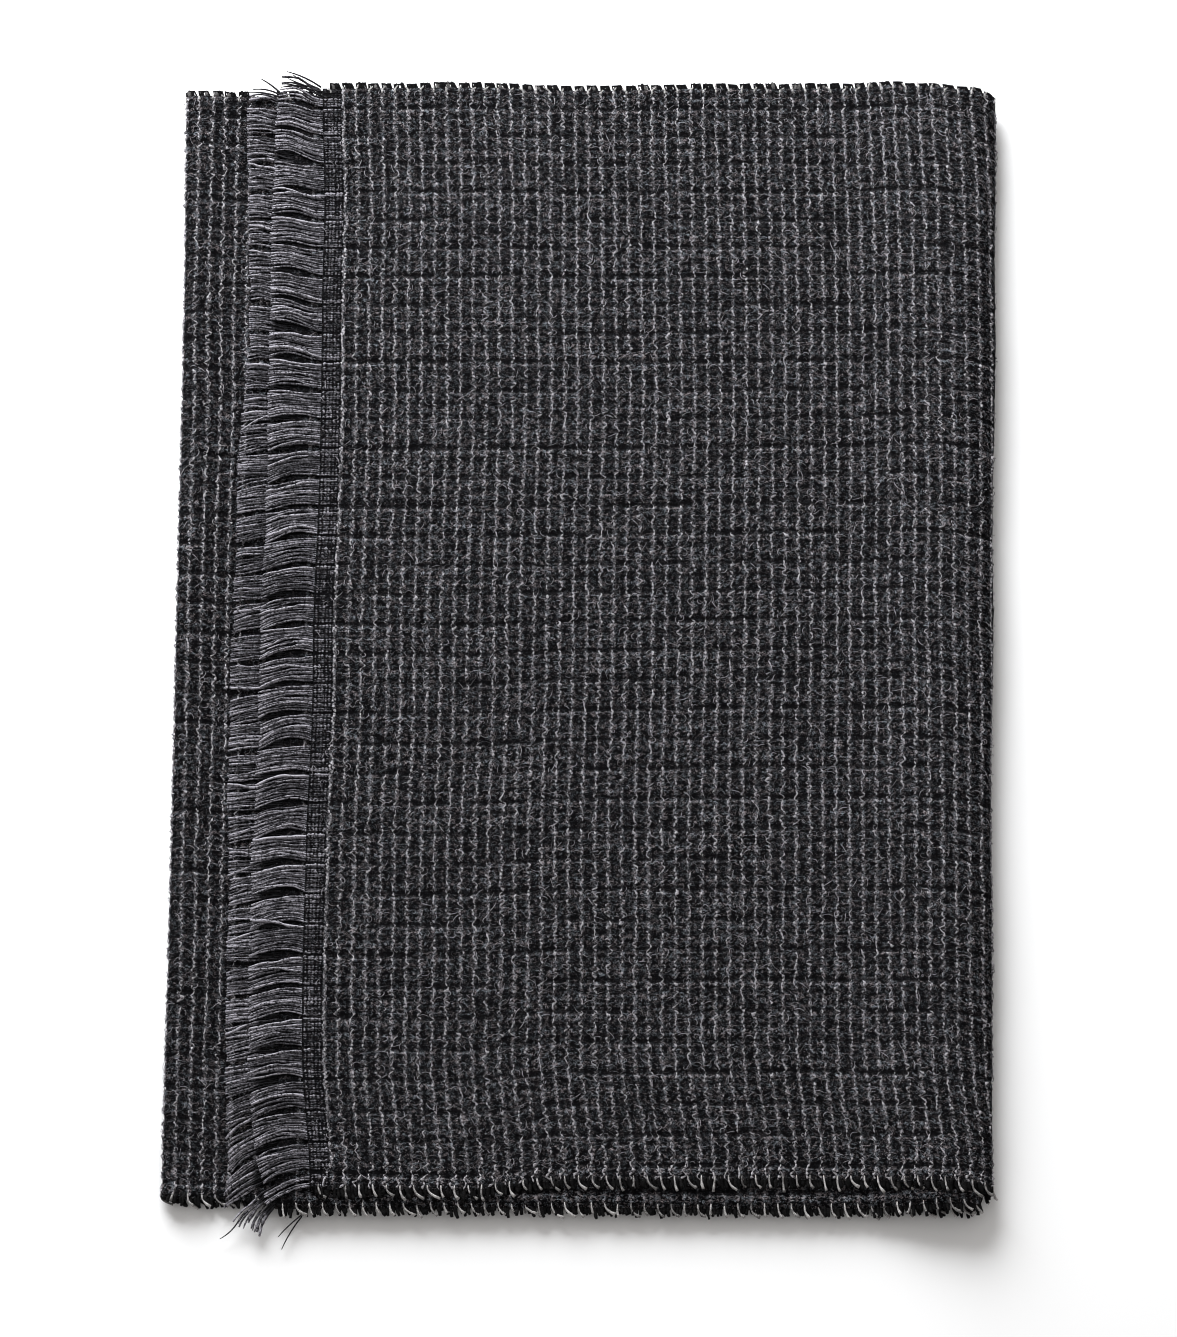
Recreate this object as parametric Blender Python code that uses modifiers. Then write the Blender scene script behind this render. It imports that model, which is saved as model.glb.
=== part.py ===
"""Long wool stole, folded in half twice and laid flat on a table.

One woven length runs through the whole stack.  From its upper fringed end it crosses the top, turns
round the right fold, comes back underneath, turns round the left fold, crosses again inside the
stack, turns round a smaller right fold and ends in the lower fringe just under the upper one.
X runs along the warp, Y along the weft from selvedge to selvedge, and Z is up.
"""

import math
from collections import namedtuple

import bmesh
import bpy

# Cloth, in metres
CLOTH_THICK = 0.0025
FRINGE_THICK = 0.0016
LAYER_GAP = 0.0003
EDGE_GROOVE = 0.008  # how far in from its edges the inner pair of layers shows as two
MERGE_DISTANCE = 0.00001  # points this close to each other become one

# Rows of faces along the weft, and columns along the warp in each stretch of cloth
WEFT_ROWS = 18
FLAT_COLUMNS = 5
RISE_COLUMNS = 7
TURN_COLUMNS = 12

# Where the woven cloth ends and the free fringe begins, and where the fringe tips lie
UPPER_END_X = -0.1600
UPPER_TIP_X = -0.1895
LOWER_END_X = -0.1760
LOWER_TIP_X = -0.2065

# Seams between stretches: under the lower fringe, and on the underside near the left fold
STRIP_SEAM_X = -0.1950
BASE_SEAM_X = -0.2220

# Half width of each turn, from its crest to the middle of the cloth at its outer edge
OUTER_TURN = 0.0170
INNER_TURN = 0.0098
LEFT_TURN = 0.0080
INNER_SETBACK = 0.0072  # inner right fold behind the outer one
LEFT_RUN = 0.0240  # from the left fold's crest to where its strip lies flat

# The outer right fold: share of the cloth's width, outline, crest height, run from crest to flat
RightFold = namedtuple("RightFold", "share edge_x crest_z run")
RIGHT_FOLD = (
    RightFold(0.00, 0.2257, 0.0200, 0.062),
    RightFold(0.30, 0.2292, 0.0215, 0.070),
    RightFold(0.55, 0.2338, 0.0220, 0.066),
    RightFold(0.80, 0.2388, 0.0228, 0.074),
    RightFold(1.00, 0.2420, 0.0212, 0.070),
)

# The left fold: share of the cloth's width, outline, crest height
LeftFold = namedtuple("LeftFold", "share edge_x crest_z")
LEFT_FOLD = (
    LeftFold(0.00, -0.2408, 0.0092),
    LeftFold(0.30, -0.2400, 0.0098),
    LeftFold(0.60, -0.2402, 0.0094),
    LeftFold(0.80, -0.2400, 0.0100),
    LeftFold(1.00, -0.2420, 0.0090),
)

# Lower and upper selvedge of each stretch, by share of the way along it as its path runs
Selvedge = namedtuple("Selvedge", "share low_y high_y")
TOP_SELVEDGE = (
    Selvedge(0.00, -0.3420, 0.3640),
    Selvedge(0.20, -0.3420, 0.3640),
    Selvedge(0.36, -0.3360, 0.3620),
    Selvedge(0.62, -0.3360, 0.3640),
    Selvedge(0.74, -0.3370, 0.3640),
    Selvedge(0.90, -0.3430, 0.3580),
    Selvedge(1.00, -0.3460, 0.3520),
)
BASE_SELVEDGE = (Selvedge(0, -0.3450, 0.3600), Selvedge(1, -0.3460, 0.3520))
STRIP_SELVEDGE = (Selvedge(0, -0.3450, 0.3600), Selvedge(1, -0.3460, 0.3615))
HIDDEN_SELVEDGE = (
    Selvedge(0.0, -0.3460, 0.3615),
    Selvedge(0.5, -0.3520, 0.3560),
    Selvedge(1.0, -0.3520, 0.3570),
)

# Sides of the fringes from root to tips, whose lower yarns sweep outwards past the selvedge
UPPER_FRINGE_SIDES = (Selvedge(0, -0.3420, 0.3630), Selvedge(1, -0.3500, 0.3640))
LOWER_FRINGE_SIDES = (Selvedge(0, -0.3520, 0.3570), Selvedge(1, -0.3640, 0.3620))

# Colours of the wool, linear
CHARCOAL = (0.030, 0.030, 0.033)
FRINGE_GREY = (0.090, 0.088, 0.098)
WOOL_ROUGHNESS = 0.95


def smooth(share):
    """Eases from 0 to 1."""
    share = min(max(share, 0.0), 1.0)
    return share * share * (3 - 2 * share)


def mix(a, b, share):
    """The value a share of the way from a to b."""
    return a + (b - a) * share


def read_table(table, at, column):
    """A column of a table of sections, eased between the two rows that at lies between."""
    for before, after in zip(table, table[1:]):
        if at <= after.share:
            share = smooth((at - before.share) / (after.share - before.share))
            return mix(getattr(before, column), getattr(after, column), share)
    return getattr(table[-1], column)


def layer_z(count):
    """Height of the middle of the cloth with this many layers under it."""
    return CLOTH_THICK / 2 + count * (CLOTH_THICK + LAYER_GAP)


def spread(start, end, columns):
    """Evenly spaced values from start up to, but not including, end."""
    return [mix(start, end, i / columns) for i in range(columns)]


def turn(centre_x, low_z, high_z, half_width, from_top):
    """Points round half an ellipse, which bulges to +X, or to -X where half_width is negative."""
    middle = (low_z + high_z) / 2
    radius = (high_z - low_z) / 2
    points = []
    for i in range(TURN_COLUMNS + 1):
        angle = math.pi * i / TURN_COLUMNS
        height = middle + radius * math.cos(angle) * (1 if from_top else -1)
        points.append((centre_x + half_width * math.sin(angle), height))
    return points


def rise(start_x, end_x, start_z, end_z):
    """Points of a stretch that eases from one height to another, without its last point."""
    xs = spread(start_x, end_x, RISE_COLUMNS)
    return [(x, mix(start_z, end_z, smooth((x - start_x) / (end_x - start_x)))) for x in xs]


def flat(start_x, end_x, height):
    """Points of a level stretch, without its last point."""
    return [(x, height) for x in spread(start_x, end_x, FLAT_COLUMNS)]


def outer_centre_x(share):
    """Where the outer right fold has its crest, and its line of contact with the table."""
    return read_table(RIGHT_FOLD, share, "edge_x") - CLOTH_THICK / 2 - OUTER_TURN


def top_path(share):
    """Middle of the top stretch: level, up to the crest, and round the outer right fold."""
    crest_x = outer_centre_x(share)
    crest_z = read_table(RIGHT_FOLD, share, "crest_z") - CLOTH_THICK / 2
    rise_x = crest_x - read_table(RIGHT_FOLD, share, "run")
    level = layer_z(3)
    path = flat(UPPER_END_X, rise_x, level)
    path += rise(rise_x, crest_x, level, crest_z)
    return path + turn(crest_x, layer_z(0), crest_z, OUTER_TURN, True)


def inner_path(share):
    """Middle of the hidden pair: right along the lower one, round the inner fold and back above."""
    edge_x = read_table(RIGHT_FOLD, share, "edge_x") - INNER_SETBACK
    crest_x = edge_x - CLOTH_THICK / 2 - INNER_TURN
    crest_z = read_table(RIGHT_FOLD, share, "crest_z") - 1.5 * CLOTH_THICK - LAYER_GAP
    rise_x = crest_x - read_table(RIGHT_FOLD, share, "run")
    path = flat(STRIP_SEAM_X, crest_x, layer_z(1))
    path += turn(crest_x, layer_z(1), crest_z, INNER_TURN, False)[:-1]
    path += rise(crest_x, rise_x, crest_z, layer_z(2))
    path += flat(rise_x, LOWER_END_X, layer_z(2))
    return path + [(LOWER_END_X, layer_z(2))]


def left_path(share):
    """Middle of the left fold: from the underside round to the strip that shows beside the fringe."""
    edge_x = read_table(LEFT_FOLD, share, "edge_x")
    crest_x = edge_x + CLOTH_THICK / 2 + LEFT_TURN
    crest_z = read_table(LEFT_FOLD, share, "crest_z") - CLOTH_THICK / 2
    path = [(BASE_SEAM_X - LAYER_GAP, layer_z(0))]
    path += turn(crest_x, layer_z(0), crest_z, -LEFT_TURN, False)[:-1]
    path += rise(crest_x, crest_x + LEFT_RUN, crest_z, layer_z(1))
    return path + [(crest_x + LEFT_RUN, layer_z(1)), (STRIP_SEAM_X - LAYER_GAP, layer_z(1))]


def base_path(share):
    """Middle of the bottom stretch, which lies on the table."""
    return [(BASE_SEAM_X, layer_z(0)), (outer_centre_x(share) - LAYER_GAP, layer_z(0))]


def fringe_path(root_x, bend_x, tip_x, root_z, tip_z):
    """Middle of a fringe: level from its root to where it bends, then drooping to its tips."""
    half_x = mix(bend_x, tip_x, 0.5)
    return [(root_x, root_z), (bend_x, root_z), (half_x, mix(root_z, tip_z, 0.5)), (tip_x, tip_z)]


def upper_fringe_path(share):
    """Middle of the upper fringe, which leaves the cloth under it and droops on the lower fringe."""
    root_z = layer_z(3) - (CLOTH_THICK - FRINGE_THICK) / 2
    tip_z = lower_fringe_z() + FRINGE_THICK + LAYER_GAP
    return fringe_path(UPPER_END_X - LAYER_GAP, LOWER_END_X, UPPER_TIP_X, root_z, tip_z)


def lower_fringe_path(share):
    """Middle of the lower fringe, which lies on the strip beneath it."""
    level = lower_fringe_z()
    return fringe_path(LOWER_END_X - LAYER_GAP, UPPER_TIP_X, LOWER_TIP_X, level, level)


def lower_fringe_z():
    """Height of the middle of the lower fringe."""
    return layer_z(2) - (CLOTH_THICK - FRINGE_THICK) / 2


def shares_along(path):
    """For each point of a path, the share of its length that lies before the point."""
    lengths = [0.0]
    for before, after in zip(path, path[1:]):
        lengths.append(lengths[-1] + math.dist(before, after))
    return [length / lengths[-1] for length in lengths]


def surface(name, path, selvedge):
    """The middle surface of a stretch of cloth: a grid laid along its path, selvedge to selvedge."""
    paths = [path(row / WEFT_ROWS) for row in range(WEFT_ROWS + 1)]
    shares = shares_along(paths[WEFT_ROWS // 2])
    columns = len(shares) - 1
    mesh = bpy.data.meshes.new(name)
    grid = bmesh.new()
    bmesh.ops.create_grid(grid, x_segments=columns, y_segments=WEFT_ROWS, size=1.0)
    for vertex in grid.verts:
        column = round((vertex.co.x + 1) / 2 * columns)
        row = round((vertex.co.y + 1) / 2 * WEFT_ROWS)
        low = read_table(selvedge, shares[column], "low_y")
        high = read_table(selvedge, shares[column], "high_y")
        x, z = paths[row][column]
        vertex.co = (x, mix(low, high, row / WEFT_ROWS), z)
    bmesh.ops.recalc_face_normals(grid, faces=grid.faces)
    grid.to_mesh(mesh)
    grid.free()
    return mesh


def wool(name, colour):
    """A matt woollen material."""
    material = bpy.data.materials.new(name)
    material.use_nodes = True
    shader = material.node_tree.nodes["Principled BSDF"]
    shader.inputs["Base Color"].default_value = (*colour, 1.0)
    shader.inputs["Roughness"].default_value = WOOL_ROUGHNESS
    shader.inputs["Metallic"].default_value = 0.0
    return material


def cloth(name, path, selvedge, thickness, material, collection):
    """A stretch of cloth: its middle surface, thickened equally to both sides."""
    piece = bpy.data.objects.new(name, surface(name, path, selvedge))
    collection.objects.link(piece)
    piece.data.materials.append(material)
    wall = piece.modifiers.new("Wall", "SOLIDIFY")
    wall.thickness = thickness
    wall.offset = 0.0
    wall.use_even_offset = True
    return piece


def hidden_filling(collection):
    """What fills the hidden pair between its two layers, short of its edges on every side."""
    paths = []
    for row in range(WEFT_ROWS + 1):
        path = inner_path(row / WEFT_ROWS)
        end_x = LOWER_END_X + EDGE_GROOVE
        inside = [point for point in path if point[0] > end_x + LAYER_GAP]
        paths.append([(end_x, path[0][1])] + inside + [(end_x, path[-1][1])])
    columns = len(paths[0])
    mesh = bpy.data.meshes.new("hidden_filling")
    tube = bmesh.new()
    bmesh.ops.create_grid(tube, x_segments=columns, y_segments=WEFT_ROWS, size=1.0)
    for vertex in tube.verts:
        column = round((vertex.co.x + 1) / 2 * columns) % columns
        row = round((vertex.co.y + 1) / 2 * WEFT_ROWS)
        low, high = HIDDEN_SELVEDGE[-1].low_y + EDGE_GROOVE, HIDDEN_SELVEDGE[-1].high_y - EDGE_GROOVE
        x, z = paths[row][column]
        vertex.co = (x, mix(low, high, row / WEFT_ROWS), z)
    bmesh.ops.remove_doubles(tube, verts=tube.verts, dist=MERGE_DISTANCE)
    bmesh.ops.holes_fill(tube, edges=tube.edges, sides=0)
    bmesh.ops.recalc_face_normals(tube, faces=tube.faces)
    tube.to_mesh(mesh)
    tube.free()
    filling = bpy.data.objects.new("hidden_filling", mesh)
    filling.hide_render = True
    filling.display_type = "WIRE"
    collection.objects.link(filling)
    return filling


def build():
    """Makes the folded stole, one object for each stretch of cloth and each fringe."""
    for item in list(bpy.data.objects):
        bpy.data.objects.remove(item, do_unlink=True)
    scarf = bpy.data.collections.new("foulard_scarf")
    helpers = bpy.data.collections.new("helpers")
    for collection in (scarf, helpers):
        bpy.context.scene.collection.children.link(collection)

    body = wool("charcoal_wool", CHARCOAL)
    yarn = wool("fringe_yarn", FRINGE_GREY)
    cloth("bottom_layer", base_path, BASE_SELVEDGE, CLOTH_THICK, body, scarf)
    cloth("left_fold", left_path, STRIP_SELVEDGE, CLOTH_THICK, body, scarf)
    hidden = cloth("hidden_layers", inner_path, HIDDEN_SELVEDGE, CLOTH_THICK, body, scarf)
    fill = hidden.modifiers.new("Filling", "BOOLEAN")
    fill.operation = "UNION"
    fill.object = hidden_filling(helpers)
    cloth("top_layer", top_path, TOP_SELVEDGE, CLOTH_THICK, body, scarf)
    cloth("top_fringe", upper_fringe_path, UPPER_FRINGE_SIDES, FRINGE_THICK, yarn, scarf)
    cloth("under_fringe", lower_fringe_path, LOWER_FRINGE_SIDES, FRINGE_THICK, yarn, scarf)


build()
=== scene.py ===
"""Foulard scarf of brushed charcoal wool, folded in half twice and laid flat, fringes on the left."""

import math

import bmesh
import bpy
import mathutils
import numpy as np
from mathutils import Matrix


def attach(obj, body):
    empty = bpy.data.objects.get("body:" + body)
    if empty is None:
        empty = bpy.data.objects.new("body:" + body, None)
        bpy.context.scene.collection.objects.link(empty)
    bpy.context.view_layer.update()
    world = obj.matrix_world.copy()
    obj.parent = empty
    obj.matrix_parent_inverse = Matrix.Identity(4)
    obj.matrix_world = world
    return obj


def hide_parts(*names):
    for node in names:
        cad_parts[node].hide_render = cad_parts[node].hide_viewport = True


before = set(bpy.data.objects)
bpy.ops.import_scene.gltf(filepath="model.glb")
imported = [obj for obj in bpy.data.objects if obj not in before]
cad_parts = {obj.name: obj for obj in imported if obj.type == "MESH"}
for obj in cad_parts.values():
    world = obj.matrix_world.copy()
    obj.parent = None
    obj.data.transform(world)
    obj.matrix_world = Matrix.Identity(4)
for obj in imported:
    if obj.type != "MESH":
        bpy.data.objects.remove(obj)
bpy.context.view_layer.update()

# ---- The folded length ------------------------------------------------------------------------
# One woven length of wool runs through the whole stack, from the upper hem across the top, round
# the right fold, back along the table, round the left fold, across inside the stack, round a
# smaller right fold and back to the lower hem.  X is along the warp, Y along the weft.
WALL = 0.0025
LAYER_GAP = 0.0003
UPPER_HEM_X = -0.1600
LOWER_HEM_X = -0.1760
OUTER_TURN, INNER_TURN, LEFT_TURN = 0.0170, 0.0098, 0.0080
INNER_SETBACK = 0.0072
LEFT_RUN = 0.0240
STRIP_SEAM_X = -0.1950
# Share of the width, outline, crest height, and run from crest to flat
RIGHT_FOLD = (
    (0.00, 0.2257, 0.0200, 0.062),
    (0.30, 0.2292, 0.0215, 0.070),
    (0.55, 0.2338, 0.0220, 0.066),
    (0.80, 0.2388, 0.0228, 0.074),
    (1.00, 0.2420, 0.0212, 0.070),
)
# Share of the width, outline, crest height
LEFT_FOLD = (
    (0.00, -0.2408, 0.0092),
    (0.30, -0.2400, 0.0098),
    (0.60, -0.2402, 0.0094),
    (0.80, -0.2400, 0.0100),
    (1.00, -0.2420, 0.0090),
)
# Where the two selvedges lie: share of the stretch, lower and upper edge with their tufts
TOP_EDGES = (
    (0.00, -0.342, 0.364),
    (0.20, -0.342, 0.364),
    (0.36, -0.336, 0.362),
    (0.62, -0.336, 0.364),
    (0.74, -0.337, 0.3645),
    (0.81, -0.339, 0.3653),
    (0.86, -0.341, 0.3620),
    (0.91, -0.343, 0.3580),
    (1.00, -0.346, 0.352),
)
BASE_EDGES = ((0.0, -0.346, 0.352), (1.0, -0.345, 0.360))
STRIP_EDGES = ((0.0, -0.345, 0.360), (1.0, -0.346, 0.3615))
HIDDEN_EDGES = ((0.0, -0.346, 0.3615), (0.5, -0.352, 0.356), (1.0, -0.352, 0.357))
TUFT_REACH = 0.0045  # from the last warp end to the ends of the tufts
LOOP_REACH = 0.0035  # and to the tops of the loops
CLOTH_WIDTH = 0.700
LEAD = 0.008  # the path goes on this far past both hems
SECTIONS = 57  # sections across the width that hold the folded path
STEP = 0.001  # between the points of each path
TRUE_UNTIL = 0.36  # up to here the weft runs square to the upper hem


def ease(share):
    """Eases from 0 to 1."""
    share = np.clip(share, 0.0, 1.0)
    return share * share * (3 - 2 * share)


def read(table, share, column):
    """A column of a table, eased between its rows."""
    rows = np.array(table)
    at = np.clip(np.searchsorted(rows[:, 0], share, "right") - 1, 0, len(rows) - 2)
    part = ease((share - rows[at, 0]) / (rows[at + 1, 0] - rows[at, 0]))
    return rows[at, column] + part * (rows[at + 1, column] - rows[at, column])


def layer_z(count):
    """Height of the middle of the cloth with this many layers under it."""
    return WALL / 2 + count * (WALL + LAYER_GAP)


def turn(centre_x, start_z, end_z, bulge, points=25):
    """Half an ellipse from one height to another, bulging to the side."""
    angle = np.linspace(0, math.pi, points)
    middle = (start_z + end_z) / 2
    return np.stack([centre_x + bulge * np.sin(angle), middle + (start_z - middle) * np.cos(angle)], 1)


def rise(start_x, end_x, start_z, end_z, points=25):
    """A stretch that eases from one height to another."""
    share = np.linspace(0, 1, points)
    return np.stack([start_x + share * (end_x - start_x), start_z + ease(share) * (end_z - start_z)], 1)


def folded_path(share):
    """Middle of the whole length in one section, and how far along it each stretch ends."""
    edge, crest, run = (read(RIGHT_FOLD, share, column) for column in (1, 2, 3))
    outer_x, outer_z = edge - WALL / 2 - OUTER_TURN, crest - WALL / 2
    inner_x, inner_z = edge - INNER_SETBACK - WALL / 2 - INNER_TURN, crest - 1.5 * WALL - LAYER_GAP
    left_x = read(LEFT_FOLD, share, 1) + WALL / 2 + LEFT_TURN
    left_z = read(LEFT_FOLD, share, 2) - WALL / 2
    stretches = (
        ([(UPPER_HEM_X - LEAD, layer_z(3))], rise(outer_x - run, outer_x, layer_z(3), outer_z),
         turn(outer_x, outer_z, layer_z(0), OUTER_TURN)[1:]),
        ([(left_x, layer_z(0))],),
        (turn(left_x, layer_z(0), left_z, -LEFT_TURN)[1:],
         rise(left_x, left_x + LEFT_RUN, left_z, layer_z(1))[1:], [(STRIP_SEAM_X, layer_z(1))]),
        (turn(inner_x, layer_z(1), inner_z, INNER_TURN),
         rise(inner_x, inner_x - run, inner_z, layer_z(2))[1:], [(LOWER_HEM_X, layer_z(2))]),
    )
    path, ends = [], []
    for stretch in stretches:
        path += [np.array(points, float) for points in stretch]
        steps = np.diff(np.concatenate(path), axis=0)
        ends.append(np.hypot(steps[:, 0], steps[:, 1]).sum() - LEAD)
    path.append(np.array([(LOWER_HEM_X - LEAD, layer_z(2))]))
    return np.concatenate(path), ends


def lay_out():
    """In every section: the path's points, its outward normals, and how far its stretches reach."""
    sections = [folded_path(share) for share in np.linspace(0, 1, SECTIONS)]
    ends = np.array([section[1] for section in sections])
    mean = ends.mean(0)
    along = np.arange(-LEAD, mean[3] + LEAD, STEP)
    points, normals = [], []
    for line, reach in sections:
        steps = np.diff(line, axis=0)
        length = np.concatenate([[0], np.hypot(steps[:, 0], steps[:, 1]).cumsum()]) - LEAD
        knots = [-LEAD, TRUE_UNTIL, mean[1], mean[2], mean[3], mean[3] + LEAD]
        own = [-LEAD, TRUE_UNTIL, reach[1], reach[2], reach[3], reach[3] + LEAD]
        own_along = np.interp(along, knots, own)
        x, z = (np.interp(own_along, length, line[:, i]) for i in (0, 1))
        slope_x, slope_z = np.gradient(x), np.gradient(z)
        size = np.maximum(np.hypot(slope_x, slope_z), 1e-9)
        points.append(np.stack([x, z], 1))
        normals.append(np.stack([-slope_z / size, slope_x / size], 1))
    return along, np.array(points), np.array(normals), mean


ALONG, PATHS, OUTWARD, (TOP_END, BASE_END, STRIP_END, WOVEN_END) = lay_out()


def edge_line(column):
    """A selvedge at every point along the length."""
    line = np.zeros(len(ALONG))
    stretches = (
        (0, TOP_END, TOP_EDGES),
        (TOP_END, BASE_END, BASE_EDGES),
        (BASE_END, STRIP_END, STRIP_EDGES),
        (STRIP_END, WOVEN_END, HIDDEN_EDGES),
    )
    for start, end, table in stretches:
        share = np.clip((ALONG - start) / (end - start), 0, 1)
        line = np.where(ALONG >= start - LEAD, read(table, share, column), line)
    return line


LOW_EDGE, HIGH_EDGE = edge_line(1) + TUFT_REACH, edge_line(2) - LOOP_REACH


def wander(x, y, seed):
    """A smooth random field from -1 to 1, with one knot per unit both ways."""
    column, row = np.floor(x), np.floor(y)

    def knot(i, j):
        return np.modf(np.sin(i * 127.1 + j * 311.7 + seed * 74.7) * 43758.5453)[0]

    across, up = ease(x - column), ease(y - row)
    low = knot(column, row) * (1 - across) + knot(column + 1, row) * across
    high = knot(column, row + 1) * (1 - across) + knot(column + 1, row + 1) * across
    return low * (1 - up) + high * up


BOW_FADE = 0.12  # the length past the right fold over which the bow fades out
WARP_WANDER = 0.0006  # how far the weave is pulled along the warp, and across it
WEFT_WANDER = 0.0010
# How far the weft bows to the right on the top stretch, by metres from the lower selvedge
BOW = (
    (0.000, 0.0035),
    (0.085, -0.0028),
    (0.200, -0.0023),
    (0.330, 0.0000),
    (0.500, 0.0026),
    (0.600, 0.0025),
    (0.700, 0.0008),
)


def place(along, across, lift):
    """Points on the cloth: metres along the warp, metres across from the lower selvedge, and
    height over its middle on its outer side.  Returns them with the outward normals."""
    along, across, lift = np.broadcast_arrays(along, across, lift)
    bow = read(BOW, across, 1) * ease((TOP_END + BOW_FADE - along) / BOW_FADE)
    warp_shift = bow + WARP_WANDER * wander(along / 0.09, across / 0.07, 3)
    weft_shift = WEFT_WANDER * wander(along / 0.10, across / 0.16, 5)
    column = np.clip((along + warp_shift + LEAD) / STEP, 0, len(ALONG) - 1.001)
    row = np.clip(across / CLOTH_WIDTH, 0, 1) * (SECTIONS - 1.0001)
    c, r = column.astype(int), row.astype(int)
    part, up = (column - c)[..., None], (row - r)[..., None]

    def blend(table):
        low = table[r, c] * (1 - part) + table[r, c + 1] * part
        high = table[r + 1, c] * (1 - part) + table[r + 1, c + 1] * part
        return low * (1 - up) + high * up

    points, normals = blend(PATHS), blend(OUTWARD)
    normals = normals / np.linalg.norm(normals, axis=-1, keepdims=True)
    low, high = (np.interp(column, np.arange(len(ALONG)), line) for line in (LOW_EDGE, HIGH_EDGE))
    y = low + (high - low) * across / CLOTH_WIDTH + weft_shift
    spot = points + normals * lift[..., None]
    upright = np.stack([normals[..., 0], np.zeros_like(y), normals[..., 1]], -1)
    return np.stack([spot[..., 0], y, spot[..., 1]], -1), upright


# ---- Bottom stretch ---------------------------------------------------------------------------
# The stretch that lies on the table.  Like the rest of the cloth it is a loose brushed wool weave:
# three thick black picks and one thin light slub pick in turn, bound by fine grey warp ends whose
# dark groups draw broken bands along the warp.
PICK = 0.001907  # pitch of the weft
LINE_PITCH = 4 * PICK  # pitch of the light picks
FIRST_LINE = 0.0125  # from the upper hem to the first light pick, which closes the hem
END_GROUP = 0.002353  # pitch of the smallest groups of warp ends
BAND_PITCH = 8 * END_GROUP  # pitch of the dark bands
FLOAT_ROW = 0.0025  # from each dark band to the row of bright floats below it
SEAM = 0.00015  # half the slit between two stretches
BLACK_WOOL = (0.0025, 0.0024, 0.0028, 1)
WARM_GREY = (0.277, 0.244, 0.253, 1)
COOL_GREY = (0.231, 0.253, 0.284, 1)
LIGHT_WOOL = (0.41, 0.40, 0.43, 1)
METRES_TO_MM = 1000.0


def add(tree, kind, inputs=(), **settings):
    """A shader node, with its settings and its input values or links."""
    made = tree.nodes.new("ShaderNode" + kind)
    for name, value in settings.items():
        setattr(made, name, value)
    for socket, value in dict(inputs).items():
        if isinstance(value, bpy.types.NodeSocket):
            tree.links.new(value, made.inputs[socket])
        else:
            made.inputs[socket].default_value = value
    return made


def use_group(tree, group, inputs):
    """A node that holds a group, with its input values or links."""
    return add(tree, "Group", inputs, node_tree=group)


def maths(tree, operation, *values):
    """The result of a Math node."""
    return add(tree, "Math", enumerate(values), operation=operation).outputs[0]


def sums(tree):
    """The sums on one tree as short functions: a product, a sum, a difference, and scaled, which
    is a value times a factor plus an offset."""

    def times(*factors):
        product = factors[0]
        for factor in factors[1:]:
            product = maths(tree, "MULTIPLY", product, factor)
        return product

    def plus(first, second):
        return maths(tree, "ADD", first, second)

    def minus(first, second):
        return maths(tree, "SUBTRACT", first, second)

    def scaled(value, factor, offset):
        return maths(tree, "MULTIPLY_ADD", value, factor, offset)

    return times, plus, minus, scaled


def mixed(tree, first, second, share):
    """A colour between two."""
    return add(tree, "Mix", {6: first, 7: second, "Factor": share}, data_type="RGBA").outputs[2]


def fade(tree, value, start, end):
    """0 where a value is at start or beyond, easing to 1 at end."""
    inputs = {"Value": value, "From Min": start, "From Max": end}
    return add(tree, "MapRange", inputs, interpolation_type="SMOOTHSTEP").outputs["Result"]


def node_group(name, inputs, outputs):
    """An empty node group and its two ends."""
    group = bpy.data.node_groups.new(name, "ShaderNodeTree")
    for way, sockets in (("INPUT", inputs), ("OUTPUT", outputs)):
        for label, kind in sockets.items():
            group.interface.new_socket(label, in_out=way, socket_type="NodeSocket" + kind)
    return group, group.nodes.new("NodeGroupInput"), group.nodes.new("NodeGroupOutput")


# Size of the noise in each size of fibre, width of its lines, and strength
FIBRE_SIZES = ((0.20, 0.020, 1.0), (0.36, 0.030, 1.0), (0.60, 0.040, 0.8))


def fibre_web_group():
    """Fine curled fibres in three sizes, as lines of varied strength over millimetres."""
    group, start, end = node_group("Fibre web", {"Place": "Vector"}, {"Web": "Float"})
    times, _, minus, _ = sums(group)

    def noise(scale, detail, distortion):
        inputs = {"Vector": start.outputs["Place"], "Scale": scale, "Detail": detail,
                  "Roughness": 0.6, "Distortion": distortion}
        return add(group, "TexNoise", inputs, noise_dimensions="2D").outputs["Fac"]

    web = 0.0
    for scale, width, strength in FIBRE_SIZES:
        off = maths(group, "ABSOLUTE", minus(noise(scale, 2.0, 1.0), 0.5))
        broken = fade(group, noise(scale * 0.83, 1.0, 0.0), 0.44, 0.62)
        web = maths(group, "MAXIMUM", web, times(fade(group, off, width, 0.0), strength, broken))
    group.links.new(web, end.inputs["Web"])
    return group


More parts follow.
